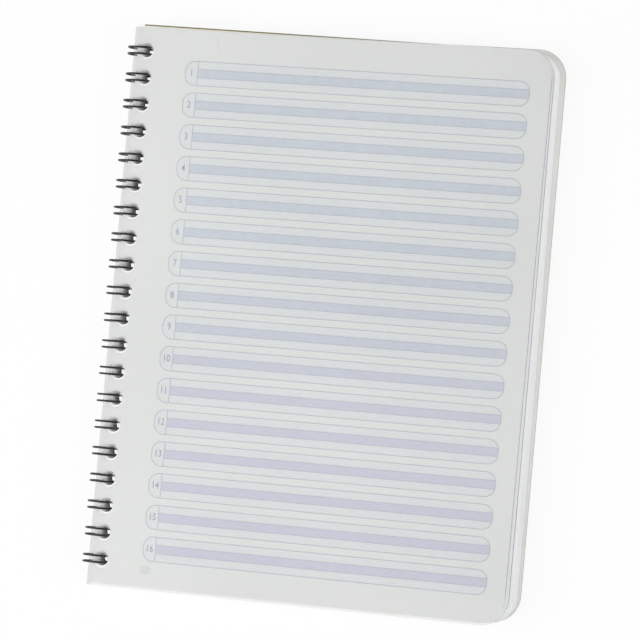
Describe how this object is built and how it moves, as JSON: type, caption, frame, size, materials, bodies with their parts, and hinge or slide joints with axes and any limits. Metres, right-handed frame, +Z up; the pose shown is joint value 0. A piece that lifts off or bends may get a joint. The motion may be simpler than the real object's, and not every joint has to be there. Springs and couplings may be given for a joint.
{
  "type": "spiral notebook",
  "caption": "Wire-bound notebook with translucent frosted plastic covers, rounded fore-edge corners and a black twin-loop wire binding.",
  "frame": {"origin": "centre of the closed notebook's footprint, on the surface it lies on", "axes": "+X from the binding to the fore edge, +Y to the head of the page, +Z up through the front cover"},
  "size_m": [0.2142, 0.2664, 0.0156],
  "materials": {
    "frosted_cover": "frosted translucent polypropylene",
    "back_sheet": "frosted polypropylene",
    "paper": "uncoated white paper",
    "black_wire": "black coated steel wire"
  },
  "bodies": {
    "pages": {"page_block": "paper", "wire_binding": "black_wire", "back_cover": "back_sheet"},
    "front": {"front_cover": "frosted_cover"}
  },
  "joints": [
    {"name": "front_cover_swing", "type": "hinge", "parent": "pages", "child": "front", "pos_m": [-0.09932, 0, 0.0078], "axis": [0, -1, 0], "range_deg": [0, 130]}
  ]
}
